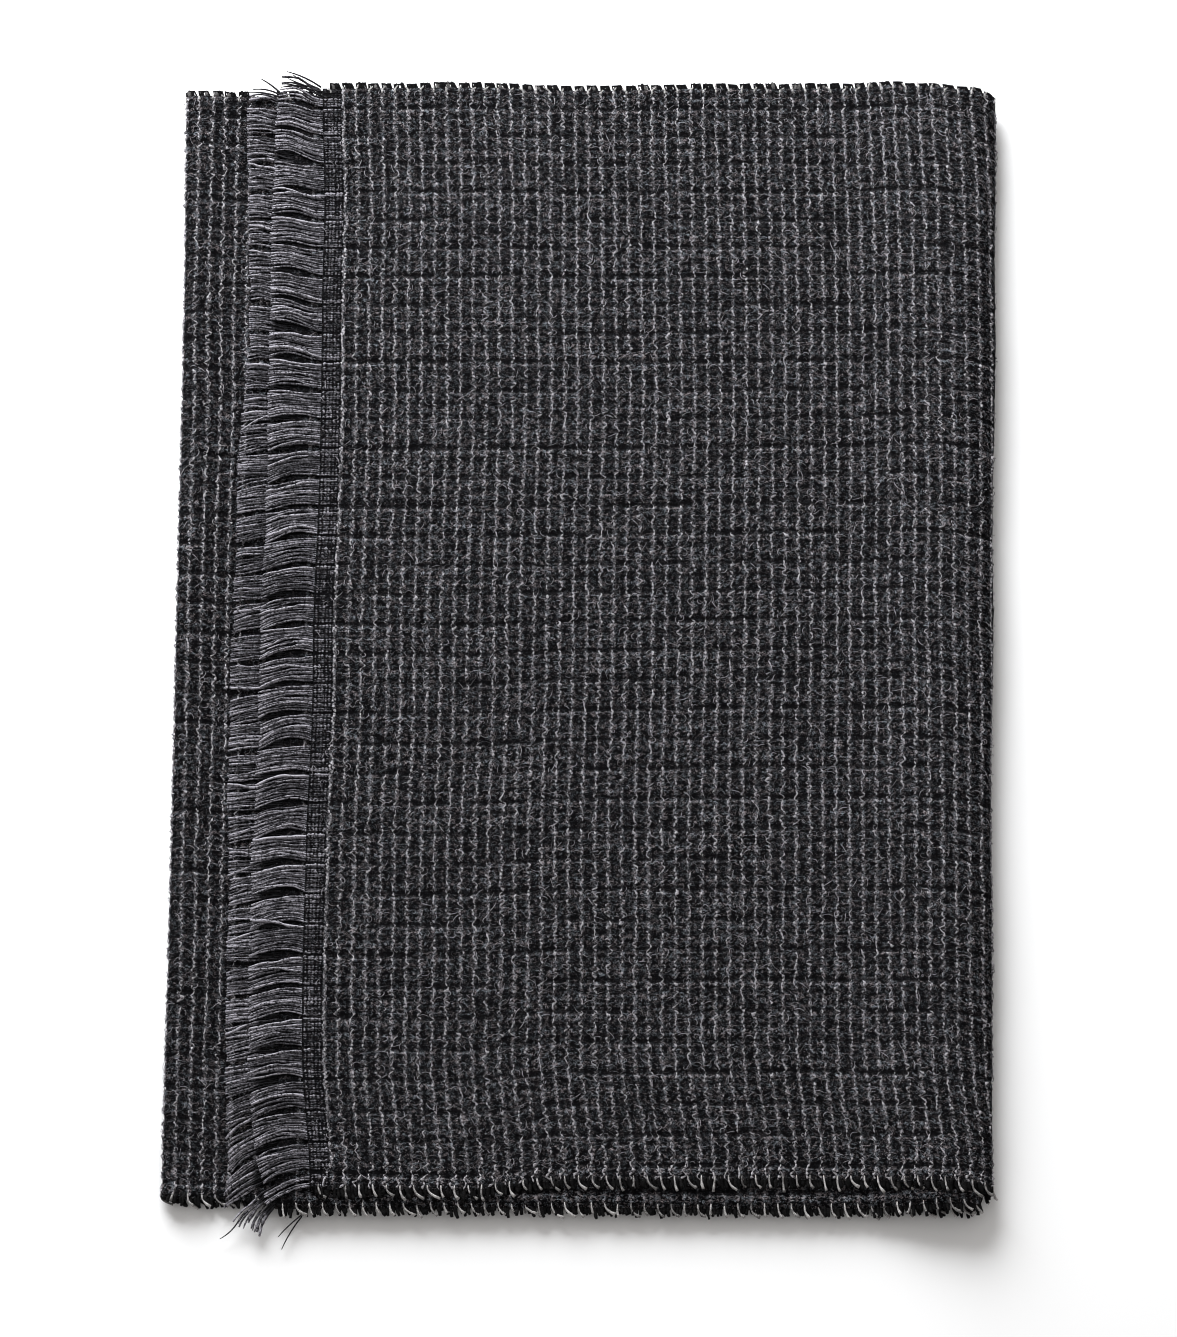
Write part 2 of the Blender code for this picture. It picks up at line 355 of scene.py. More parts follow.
def weave_group(fibre_web):
    """The brushed weave, from millimetres along the warp and across it: colour and height."""
    group, start, end = node_group(
        "Brushed weave", {"Along": "Float", "Across": "Float", "Brushed": "Float"},
        {"Colour": "Color", "Height": "Float"})
    times, plus, minus, scaled = sums(group)
    along, across = start.outputs["Along"], start.outputs["Across"]
    first_line, line_pitch, end_group, band_pitch, float_row = (
        size * METRES_TO_MM for size in (FIRST_LINE, LINE_PITCH, END_GROUP, BAND_PITCH, FLOAT_ROW))

    def noise(scale_along, scale_across, detail, seed):
        spot = add(group, "CombineXYZ", {
            "X": times(along, scale_along), "Y": times(across, scale_across), "Z": seed}).outputs[0]
        inputs = {"Vector": spot, "Scale": 1.0, "Detail": detail, "Roughness": 0.65}
        return add(group, "TexNoise", inputs).outputs["Fac"]

    def off_middle(turns, pitch):
        """How far a place is from the middle of its turn, in millimetres."""
        return times(minus(maths(group, "FRACT", turns), 0.5), pitch)

    # light picks, wavering and slubby
    waver = times(minus(noise(0.2, 0.55, 1.0, 3.0), 0.5), 4.2)
    shifted = plus(minus(along, first_line), waver)
    turns = plus(maths(group, "DIVIDE", shifted, line_pitch), 0.5)
    line = fade(group, maths(group, "ABSOLUTE", off_middle(turns, line_pitch)), 2.0, 0.1)
    slub = fade(group, noise(0.3, 0.62, 2.0, 8.0), 0.30, 0.70)

    # small groups of picks and ends as dark rounded cells in a grey web
    cells = add(group, "CombineXYZ", {
        "X": plus(maths(group, "DIVIDE", shifted, line_pitch / 2), 0.72),
        "Y": maths(group, "DIVIDE", across, end_group)}).outputs[0]

    def cell(feature, output):
        inputs = {"Vector": cells, "Scale": 1.0, "Randomness": 0.6}
        return add(group, "TexVoronoi", inputs, feature=feature, voronoi_dimensions="2D").outputs[output]

    edge = cell("DISTANCE_TO_EDGE", "Distance")
    cell_tone = add(group, "SeparateColor", {"Color": cell("F1", "Color")}).outputs["Red"]
    cell_web = fade(group, edge, 0.14, 0.02)

    # warp rhythms: bands of dark ends, the row of floats below each, and brighter groups of ends
    def rhythm(groups, phase):
        share = maths(group, "DIVIDE", across, groups * end_group / (2 * math.pi))
        return maths(group, "COSINE", plus(share, phase))

    over_band = off_middle(maths(group, "DIVIDE", across, band_pitch), band_pitch)
    over_band = scaled(minus(noise(0.42, 0.20, 1.0, 12.0), 0.5), 3.4, over_band)
    banded = fade(group, noise(0.05, 0.06, 2.0, 5.0), 0.40, 0.56)
    band = times(fade(group, maths(group, "ABSOLUTE", over_band), 2.2, 1.0), banded)
    under_band = maths(group, "ABSOLUTE", plus(over_band, float_row))
    floats = times(fade(group, under_band, 0.9, 0.2), banded,
                   fade(group, noise(0.35, 0.9, 1.0, 11.0), 0.48, 0.58))
    swell = scaled(rhythm(3, 0.6), 0.26, scaled(rhythm(4, 2.2), 0.22, 1.0))
    mottle = scaled(noise(0.045, 0.06, 2.0, 1.0), 2.4, -0.2)
    clump = scaled(noise(0.17, 0.22, 2.0, 7.0), 2.8, -0.4)
    bare = fade(group, noise(0.33, 0.42, 2.0, 9.0), 0.40, 0.54)
    swell = times(swell, mottle, clump, scaled(band, -0.8, 1.0), start.outputs["Brushed"])

    # the grey that brushing has raised, and the light of the picks and floats
    place_on = add(group, "CombineXYZ", {"X": along, "Y": across}).outputs[0]
    web = use_group(group, fibre_web, {"Place": place_on}).outputs["Web"]
    speckle = fade(group, noise(0.6, 0.75, 1.0, 6.0), 0.46, 0.58)
    grey = times(cell_web, scaled(cell_tone, 1.1, -0.2), speckle)
    grey = maths(group, "MAXIMUM", grey, times(web, 0.8))
    grey = times(grey, swell, maths(group, "MAXIMUM", bare, line), scaled(line, 0.3, 1.0))
    light = times(line, slub, swell, fade(group, noise(0.6, 0.75, 1.0, 4.0), 0.50, 0.58), 0.35)
    light = maths(group, "MAXIMUM", light, times(floats, scaled(line, 0.3, 0.12)))

    # the hem: fine dark picks between the fringe's yarns
    from_end = maths(group, "MINIMUM", along, minus(WOVEN_END * METRES_TO_MM, along))
    hem = fade(group, from_end, first_line - 0.6, first_line - 1.6)
    grey = times(grey, scaled(hem, -0.8, 1.0))
    light = times(light, scaled(hem, -1.0, 1.0))

    fleck = fade(group, noise(0.30, 0.30, 1.0, 2.0), 0.42, 0.58)
    ground = mixed(group, BLACK_WOOL, mixed(group, WARM_GREY, COOL_GREY, fleck), grey)
    height = scaled(maths(group, "MINIMUM", edge, 0.5), 0.9, times(line, 0.3))
    height = scaled(band, -0.5, scaled(web, 0.3, height))
    group.links.new(mixed(group, ground, LIGHT_WOOL, light), end.inputs["Colour"])
    group.links.new(height, end.inputs["Height"])
    return group


FIBRE_WEB = fibre_web_group()
WEAVE = weave_group(FIBRE_WEB)


def matt_wool(name, surface, roughness, shine, strength, distance):
    """A wool material.  surface(tree) makes its colour and height, and strength and distance are
    its bump's."""
    material = bpy.data.materials.new(name)
    material.use_nodes = True
    tree = material.node_tree
    shader = tree.nodes["Principled BSDF"]
    colour, height = surface(tree)
    bump = add(tree, "Bump", {"Height": height, "Strength": strength, "Distance": distance})
    tree.links.new(colour, shader.inputs["Base Color"])
    tree.links.new(bump.outputs["Normal"], shader.inputs["Normal"])
    shader.inputs["Roughness"].default_value = roughness
    shader.inputs["Specular IOR Level"].default_value = shine
    return material


def woven_wool(name, brushed=1.0):
    """The material of a stretch of cloth, whose Weave map is in metres along and across.  brushed
    is how much grey the brushing has raised from it."""

    def surface(tree):
        weave_map = add(tree, "UVMap", uv_map="Weave").outputs["UV"]
        in_mm = add(tree, "VectorMath", {0: weave_map, "Scale": METRES_TO_MM}, operation="SCALE").outputs[0]
        parts = add(tree, "SeparateXYZ", {0: in_mm})
        weave = use_group(tree, WEAVE, {
            "Along": parts.outputs["X"], "Across": parts.outputs["Y"], "Brushed": brushed})
        return weave.outputs["Colour"], weave.outputs["Height"]

    return matt_wool(name, surface, 0.95, 0.015, 0.8, 0.0006)


def cloth_grid(bm, along, across, lift):
    """Adds a grid of cloth with a vertex at each place; lift(along, across) is its height."""
    made = bmesh.ops.create_grid(
        bm, x_segments=len(along) - 1, y_segments=len(across) - 1, size=0.5)["verts"]
    corners = np.array([vertex.co[:2] for vertex in made]) + 0.5
    column, row = np.rint(corners * [len(along) - 1, len(across) - 1]).astype(int).T
    points, _ = place(along[column], across[row], lift(along[column], across[row]))
    for vertex, point in zip(made, points):
        vertex.co = point
    return np.stack([along[column], across[row]], 1)


def show(name, mesh, material):
    """An object with this mesh and material, at the origin."""
    mesh.materials.append(material)
    piece = bpy.data.objects.new(name, mesh)
    bpy.context.scene.collection.objects.link(piece)
    return piece


def finish_mesh(name, bm, material):
    """Makes a smooth-shaded object from a bmesh."""
    mesh = bpy.data.meshes.new(name)
    bm.to_mesh(mesh)
    bm.free()
    mesh.shade_smooth()
    return show(name, mesh, material)


def add_map(mesh, name, places):
    """A UV map with these places, one for each corner of each face."""
    layer = mesh.uv_layers.new(name=name)
    layer.uv.foreach_set("vector", np.asarray(places, np.float32).ravel())


RIM_SHARE = 0.001  # closer to an edge than this share, a vertex is on the rim
RIM_STEP = 0.006  # and its inner side lies this far outside its outer side in the OFBake map
BAKE_EDGE = 0.008
BAKE_OUTER, BAKE_INNER, BAKE_TALL = 0.81, 0.15, 0.98  # sizes of the two parts of that map
BAKE_INNER_START = 0.84


def cloth_shell(name, along, across, coarse, relief, material):
    """A closed stretch of cloth: a detailed outer side, a plain inner side, and a rim between."""
    bm = bmesh.new()
    outer = cloth_grid(bm, along, across, lambda a, b: WALL / 2 - relief(a, b))
    inner_along, inner_across = (
        places[np.linspace(0, len(places) - 1, len(places) // coarse + 1).round().astype(int)]
        for places in (along, across))
    inner = cloth_grid(bm, inner_along, inner_across, lambda a, b: a * 0 - WALL / 2)
    rim = [edge for edge in bm.edges if edge.is_boundary]
    bmesh.ops.bridge_loops(bm, edges=rim)
    bmesh.ops.recalc_face_normals(bm, faces=bm.faces)
    piece = finish_mesh(name, bm, material)
    mesh = piece.data

    spots = np.concatenate([outer, inner])
    corner = np.zeros(len(mesh.loops), int)
    mesh.loops.foreach_get("vertex_index", corner)
    add_map(mesh, "Weave", spots[corner])
    # the outer side and the rim fill most of the square, and the inner side a strip beside them
    share = (spots - spots.min(0)) / np.ptp(spots, axis=0)
    sizes = np.zeros(len(mesh.polygons), int)
    mesh.polygons.foreach_get("loop_total", sizes)
    face = np.repeat(np.arange(len(sizes)), sizes)
    all_inner = np.bincount(face, corner >= len(outer)) == sizes
    is_inner = (np.arange(len(spots)) >= len(outer))[:, None]
    step_out = np.where(share < RIM_SHARE, -RIM_STEP, np.where(share > 1 - RIM_SHARE, RIM_STEP, 0.0))
    flat = BAKE_EDGE + share * [BAKE_OUTER, BAKE_TALL] + step_out * is_inner
    aside = share * [BAKE_INNER, BAKE_TALL] + [BAKE_INNER_START, BAKE_EDGE]
    add_map(mesh, "OFBake", np.where(all_inner[face][:, None], aside[corner], flat[corner]))
    return piece


def pick_places(start, end, picks):
    """Every so many picks from start to end, in step with the light picks, with both ends."""
    first = math.ceil((start - FIRST_LINE) / PICK / picks + 0.3)
    last = math.floor((end - FIRST_LINE) / PICK / picks - 0.3)
    inside = FIRST_LINE + np.arange(first, last + 1) * PICK * picks
    return np.concatenate([[start], inside, [end]])


BAND_HALF, BAND_SOFT = 0.0021, 0.0012  # half width of a dark band, and how much of it is soft
# Depth between the picks, of the nap, of its lumps and of the dark bands
HOLLOW, ROUGH, LUMPS, BAND_DEPTH = 0.00026, 0.00016, 0.00012, 0.0004


def near_row(along, across, below, half, soft):
    """How near a place is to a row that lies this far below each dark band, from 0 to 1.  Bands
    and rows are broken in the same places."""
    off = np.abs((across / BAND_PITCH) % 1 - 0.5 + below / BAND_PITCH) * BAND_PITCH
    return ease((half - off) / soft) * ease(wander(along / 0.028, across / 0.02, 9) * 1.6 + 0.7)


def band_share(along, across):
    """How dark the band of warp ends is at a place, from 0 to 1."""
    return near_row(along, across, 0.0, BAND_HALF, BAND_SOFT)


def relief(along, across):
    """How deep the outer side lies under the crests of the weave."""
    turns = (along - FIRST_LINE) / LINE_PITCH
    hollow = HOLLOW * ease(1 - np.abs(turns - np.rint(turns)) * 3.2)
    rough = ROUGH * (1 + wander(along / 0.0021, across / 0.0026, 11))
    lumps = LUMPS * (1 + wander(along / 0.009, across / 0.011, 12))
    return hollow + rough + lumps + BAND_DEPTH * band_share(along, across)


ACROSS = np.linspace(0, CLOTH_WIDTH, round(CLOTH_WIDTH / END_GROUP))
WOOL_BASE = woven_wool("bottom wool")
base = cloth_shell("bottom_cloth", pick_places(TOP_END + SEAM, BASE_END - SEAM, 2), ACROSS[::2], 3,
                   relief, WOOL_BASE)
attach(base, "root")
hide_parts("bottom_layer")

# ---- Left fold and its strip ------------------------------------------------------------------
# The same length turns up round the left fold and shows as a strip beside the lower fringe, which
# lies on it.
WOOL_STRIP = woven_wool("strip wool", 0.85)
strip = cloth_shell("left_fold_cloth", pick_places(BASE_END + SEAM, STRIP_END - SEAM, 1), ACROSS, 4,
                    relief, WOOL_STRIP)
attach(strip, "root")
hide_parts("left_fold")

# ---- Hidden pair ------------------------------------------------------------------------------
# Two layers inside the stack that turn round a smaller right fold.  Only their edges show, so
# their rows of vertices are close together near the selvedges and far apart between.
EDGE_ROWS, MIDDLE_ROWS = 9, 16
edge_rows = np.arange(EDGE_ROWS) * END_GROUP
edge_strip = EDGE_ROWS * END_GROUP
middle_rows = np.linspace(edge_strip, CLOTH_WIDTH - edge_strip, MIDDLE_ROWS)
hidden_rows = np.concatenate([edge_rows, middle_rows, CLOTH_WIDTH - edge_rows[::-1]])
WOOL_HIDDEN = woven_wool("inner wool")
hidden = cloth_shell("inner_cloth", pick_places(STRIP_END + SEAM, WOVEN_END, 1), hidden_rows, 2,
                     lambda a, b: relief(a, b) * 0.5, WOOL_HIDDEN)
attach(hidden, "root")
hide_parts("hidden_layers")

# ---- Top stretch ------------------------------------------------------------------------------
# The stretch that faces up, from the hem of the upper fringe to where the right fold meets the
# table.  Every black pick and every group of ends has its own row of vertices.
WOOL_TOP = woven_wool("top wool")
top = cloth_shell("top_cloth", pick_places(0.0, TOP_END - SEAM, 1), ACROSS, 4, relief, WOOL_TOP)
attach(top, "root")
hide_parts("top_layer")

# ---- Light picks ------------------------------------------------------------------------------
# Thin light slub yarns in the weft, one for every three black picks.  Each wavers between the
# black ones and dips under the dark groups of ends.
YARN_STEP = END_GROUP / 2


def strand_form(rings, sides):
    """One strand as an upright rod: its vertices (angle, ring), faces and the faces' corners."""
    bm = bmesh.new()
    bmesh.ops.create_cone(bm, cap_ends=True, segments=sides, radius1=1, radius2=1, depth=rings - 1)
    uprights = [edge for edge in bm.edges if abs(edge.verts[0].co.z - edge.verts[1].co.z) > 0.5]
    bmesh.ops.subdivide_edges(bm, edges=uprights, cuts=rings - 2, use_grid_fill=True)
    angle = np.array([math.atan2(v.co.y, v.co.x) % (2 * math.pi) for v in bm.verts])
    ring = np.array([round(v.co.z + (rings - 1) / 2) for v in bm.verts])
    faces = [[v.index for v in face.verts] for face in bm.faces]
    bm.free()
    around = []
    for face in faces:
        shares = [round(angle[v] / (2 * math.pi) * sides) / sides for v in face]
        wraps = len(face) == 4 and max(shares) - min(shares) > 0.5
        around.append([share + 1 if wraps and share < 0.5 else share for share in shares])
    return angle, ring, faces, around


def strands(name, routes, upright, radii, tones, sides, material, flatten=1.0):
    """Many separate yarns or fibres as one joined mesh.  routes is (strand, ring, 3), and upright,
    radii and tones go with it.  Each strand is as thick as its radii, with a flat cap at each end,
    and flatten is its height over its width."""
    count, rings = radii.shape
    routes = routes.copy()
    routes[..., 2] = np.maximum(routes[..., 2], radii)  # it lies on the table, not in it
    angle, ring, faces, around = strand_form(rings, sides)
    run = np.gradient(routes, axis=1)
    run /= np.maximum(np.linalg.norm(run, axis=-1, keepdims=True), 1e-12)
    side = np.cross(run, upright)
    side /= np.maximum(np.linalg.norm(side, axis=-1, keepdims=True), 1e-12)
    top_side = np.cross(side, run)
    turn_x, turn_y = np.cos(angle)[:, None], np.sin(angle)[:, None] * flatten
    points = routes[:, ring] + (side[:, ring] * turn_x + top_side[:, ring] * turn_y) * radii[:, ring, None]
    starts = np.arange(count) * len(ring)
    loops = np.concatenate([np.array(face) for face in faces])
    sizes = np.array([len(face) for face in faces])

    mesh = bpy.data.meshes.new(name)
    mesh.vertices.add(count * len(ring))
    mesh.vertices.foreach_set("co", points.astype(np.float32).ravel())
    all_loops = (loops + starts[:, None]).ravel()
    mesh.loops.add(len(all_loops))
    mesh.loops.foreach_set("vertex_index", all_loops.astype(np.int32))
    all_sizes = np.tile(sizes, count)
    mesh.polygons.add(len(all_sizes))
    mesh.polygons.foreach_set("loop_start", np.concatenate([[0], all_sizes.cumsum()[:-1]]).astype(np.int32))
    mesh.update(calc_edges=True)
    mesh.validate()
    mesh.shade_smooth()
    tone = mesh.attributes.new("tone", "FLOAT", "POINT")
    tone.data.foreach_set("value", tones[:, ring].astype(np.float32).ravel())

    # the Yarn map is millimetres along and turns around; OFBake gives every strand its own tile
    length = np.linalg.norm(np.diff(routes, axis=1), axis=-1).sum(1) * METRES_TO_MM
    share = ring[loops] / (rings - 1)
    turns = np.concatenate([np.array(face) for face in around])
    yarn = np.stack([share * length[:, None], np.broadcast_to(turns, (count, len(turns)))], -1)
    add_map(mesh, "Yarn", yarn)
    square = round(math.sqrt(count * length.mean() / (2 * math.pi * 1.2)))
    across_count = min(max(1, square), count)
    down_count = math.ceil(count / across_count)
    tile = np.stack([np.arange(count) % across_count, np.arange(count) // across_count], -1)
    in_tile = np.stack([0.08 + turns / (1 + 1 / sides) * 0.84, 0.01 + share * 0.98], -1)
    add_map(mesh, "OFBake", (tile[:, None] + in_tile) / [across_count, down_count])

    return show(name, mesh, material)


def yarn_group():
    """Tone of a twisted or fuzzy yarn along its length, and the height of its plies."""
    group, start, end = node_group(
        "Yarn twist", {"Along": "Float", "Around": "Float", "Pitch": "Float", "Tone": "Float",
                       "Mottle": "Float"}, {"Tone": "Float", "Height": "Float"})
    times, plus, minus, scaled = sums(group)
    along, around, pitch, tone, mottle = (
        start.outputs[label] for label in ("Along", "Around", "Pitch", "Tone", "Mottle"))
    turns = plus(maths(group, "DIVIDE", along, pitch), around)
    ply = maths(group, "SINE", times(turns, 4 * math.pi))

    def noise(place_on, scale, detail):
        inputs = {"Vector": place_on, "Scale": scale, "Detail": detail}
        return add(group, "TexNoise", inputs).outputs["Fac"]

    place_on = add(group, "TexCoord").outputs["Object"]
    fine = noise(place_on, 900.0, 2.0)
    varied = times(fade(group, fine, 0.30, 0.68), scaled(noise(place_on, 260.0, 2.0), 2.6, -0.2))
    varied = scaled(minus(varied, 0.7), mottle, 0.7)
    streaks = add(group, "CombineXYZ", {
        "X": times(along, 0.22), "Y": times(maths(group, "PINGPONG", around, 0.5), 9.0),
        "Z": times(tone, 40.0)}).outputs[0]
    varied = times(varied, scaled(noise(streaks, 1.0, 1.0), 2.6, 0.1), scaled(ply, 0.12, 1.0), tone)
    group.links.new(varied, end.inputs["Tone"])
    group.links.new(scaled(ply, 0.5, fine), end.inputs["Height"])
    return group


YARN_TWIST = yarn_group()


def spun_wool(name, dark, light, pitch, mottle):
    """The material of a yarn whose tone attribute goes from its dark to its light fibres."""

    def surface(tree):
        yarn = add(tree, "SeparateXYZ", {0: add(tree, "UVMap", uv_map="Yarn").outputs["UV"]})
        tone = add(tree, "Attribute", attribute_name="tone").outputs["Fac"]
        twist = use_group(tree, YARN_TWIST, {"Along": yarn.outputs["X"], "Around": yarn.outputs["Y"],
                                             "Pitch": pitch, "Tone": tone, "Mottle": mottle})
        return mixed(tree, dark, light, twist.outputs["Tone"]), twist.outputs["Height"]

    return matt_wool(name, surface, 0.9, 0.03, 0.5, 0.0002)


SLUB = spun_wool("light slub", (0.006, 0.006, 0.007, 1), (0.42, 0.405, 0.43, 1), 2.4, 1.0)
SLUB_RADIUS = 0.00056
HEM_RADIUS = 0.00044
BESIDE_HALF, BESIDE_SOFT = 0.0017, 0.0010  # the row of fuller beads below each dark band
DIP = 0.0008  # how far a light pick goes down under a dark band, or sinks into the nap
FOLD_SHADE = 0.32  # painted shade: how much darker the right fold's picks are coloured, where the fold turns away from the light
FOLD_REACH, FOLD_FADE = 0.064, 0.030  # how far along the cloth that painted shade reaches, and how much of that it fades over
WAVER, KINK = 0.0014, 0.0011  # how far a light pick wanders, and its short zigzags
NAP = 0.00035  # how deep it lies in the nap
# The last of each pick, by the lower selvedge, is pulled to one side, and so is the hem's
PULL, PULL_REACH = 0.0020, 0.014
HEM_PULL, HEM_PULL_REACH = 0.0040, 0.022


def vary(rng, spread, shape):
    """Random factors about 1."""
    return 1 + spread * rng.standard_normal(shape)


def light_picks(name, start, end, brightness):
    """The light picks between two places along the warp."""
    first = math.ceil((start - FIRST_LINE) / LINE_PITCH)
    last = math.floor((end - FIRST_LINE) / LINE_PITCH)
    rng = np.random.default_rng(first + 40)
    lines = FIRST_LINE + np.arange(first, last + 1) * LINE_PITCH
    across = np.arange(0.0005, CLOTH_WIDTH - 0.0005, YARN_STEP)
    along, across = np.broadcast_arrays(lines[:, None], across)
    shape = along.shape
    kink = np.where(np.arange(shape[1]) // 2 % 2, 1.0, -1.0) * wander(along / 0.011, across / 0.013, 27)
    waver = 0.00034 * rng.standard_normal(shape) + WAVER * wander(along / 0.004, across / 0.0034, 21)
    waver = waver + KINK * kink
    dip = band_share(along, across)
    on_top = start < TOP_END / 2
    near_edge = ease((0.015 - across) / 0.012) * on_top
    sunk = ease(wander(along / 0.006, across / 0.0025, 22) * 1.7 - 0.15) * (1 - near_edge)
    lift = WALL / 2 - NAP + 0.0001 * rng.standard_normal(shape) - DIP * dip - DIP * sunk
    pulled = PULL * ease((PULL_REACH - across) / PULL_REACH) * on_top
    routes, upright = place(along + waver - pulled, across, lift)
    beside = near_row(along, across, FLOAT_ROW, BESIDE_HALF, BESIDE_SOFT)
    slub = wander(along / 0.003, across / 0.0045, 23)
    bead = np.where(np.arange(shape[1]) % 2, 1.0, -1.0) * ease(wander(along / 0.02, across / 0.014, 26) + 1.1)
    radii = SLUB_RADIUS * np.exp(
        0.30 * slub + 0.20 * rng.standard_normal(shape) + 0.42 * bead - 0.30 * sunk + 0.30 * near_edge
        + 0.35 * beside)
    tones = brightness * np.exp(
        0.45 * wander(along / 0.005, across / 0.0032, 24) + 0.45 * rng.standard_normal(shape))
    tones *= 1 - 0.75 * sunk
    tones *= (1 + 0.80 * bead) * (1 + 1.1 * beside)
    tones *= 1 + 0.30 * wander(along / 0.05, across / 0.04, 25)
    tones *= 1 - 0.4 * dip * (1 - near_edge)
    # painted shade: the picks near the right fold are coloured darker, where the cloth turns away from the
    # light
    fold_shade_share = ease((FOLD_REACH - np.abs(along - TOP_END)) / FOLD_FADE)
    tones *= (1 + 0.8 * near_edge) * (1 - FOLD_SHADE * fold_shade_share)
    radii[:, [0, -1]] *= 0.4
    return strands(name, routes, upright, radii, np.clip(tones, 0.02, 2.0), 3, SLUB)


def hem_pick():
    """The slub pick that closes the upper hem: two thin strands that part and cross."""
    rng = np.random.default_rng(8)
    across, strand = np.meshgrid(np.arange(0.0005, CLOTH_WIDTH - 0.0005, YARN_STEP), [0.0, 1.0])
    shape = across.shape
    along = FIRST_LINE + 0.0008 * wander(across / 0.005, 0.5, 31)
    along = along + 0.0010 * wander(across / 0.004, strand * 7.3, 33)
    along = along + 0.0003 * rng.standard_normal(shape)
    along = along - HEM_PULL * ease((HEM_PULL_REACH - across) / HEM_PULL_REACH)
    bead = np.where((np.arange(shape[1]) + strand) % 2, 0.5, -0.5)
    sunk = ease(wander(across / 0.0022, strand * 3.3, 34) * 1.5 + 0.2)
    lift = WALL / 2 - 0.0002 - DIP * band_share(along, across) + 0.0005 * bead - 0.0009 * sunk
    routes, upright = place(along, across, lift)
    radii = HEM_RADIUS * np.exp(0.35 * wander(across / 0.004, strand * 5.1, 32) + bead)
    tones = 0.42 * np.exp(0.70 * rng.standard_normal(shape) + 1.2 * bead)
    return strands("hem_pick", routes, upright, radii, tones, 5, SLUB)


hem_line = hem_pick()
top_picks = light_picks("top_light_picks", FIRST_LINE + 0.5 * LINE_PITCH, TOP_END - 0.003, 1.06)
strip_picks = light_picks("strip_light_picks", BASE_END + 0.003, STRIP_END - 0.001, 1.35)
for picks in (hem_line, top_picks, strip_picks):
    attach(picks, "root")

# ---- Fringes ----------------------------------------------------------------------------------
# The warp ends go on past each hem as loose two-ply yarns of mid grey wool, brushed flat in locks
# as wide as the gaps between the dark bands.  The upper fringe droops over the lower one, and both
# sweep towards the lower selvedge near its end.
LOCK_PITCH = BAND_PITCH
LOCK_YARNS = 12
LOCK_GAP = 0.0026  # between the locks where they leave the hem
HEM_RINGS = 11
FRINGE_RINGS = 12
HEM_REACH = 0.0109  # how far into the cloth the yarns show between the fine picks of the hem
FRINGE_LIFT = 0.00045  # the fringe's middle under the cloth's
FRINGE_THICK = 0.0016
LOWER_FRINGE_Z = layer_z(2) - FRINGE_LIFT
YARN_RADIUS = 0.00067
LOCK_WIDTH = LOCK_PITCH - LOCK_GAP
HEM_DEPTH = 0.00090  # how deep in the hem the yarns that go under lie
HEM_RELIEF = 0.00054  # and how much higher those that go over do
PAIR_SHIFT = 0.00018  # of the yarns in a pair, towards each other
STRAYS, STRAY_SPREAD = 0.09, 0.0046  # the share of yarns that leave their lock, and how far
THICK_YARNS = 0.15  # the share of thicker, lighter ones
RIPPLE = 0.00090
UPPER_HALF, UPPER_FADE = 0.44, 0.10  # where its locks start to sweep up, and over what length
TOP_LOCKS, TOP_FADE = 0.684, 0.012  # and where they do so more, at the upper selvedge
FULL_SWEEP = 0.030  # a yarn shorter than this is swept less


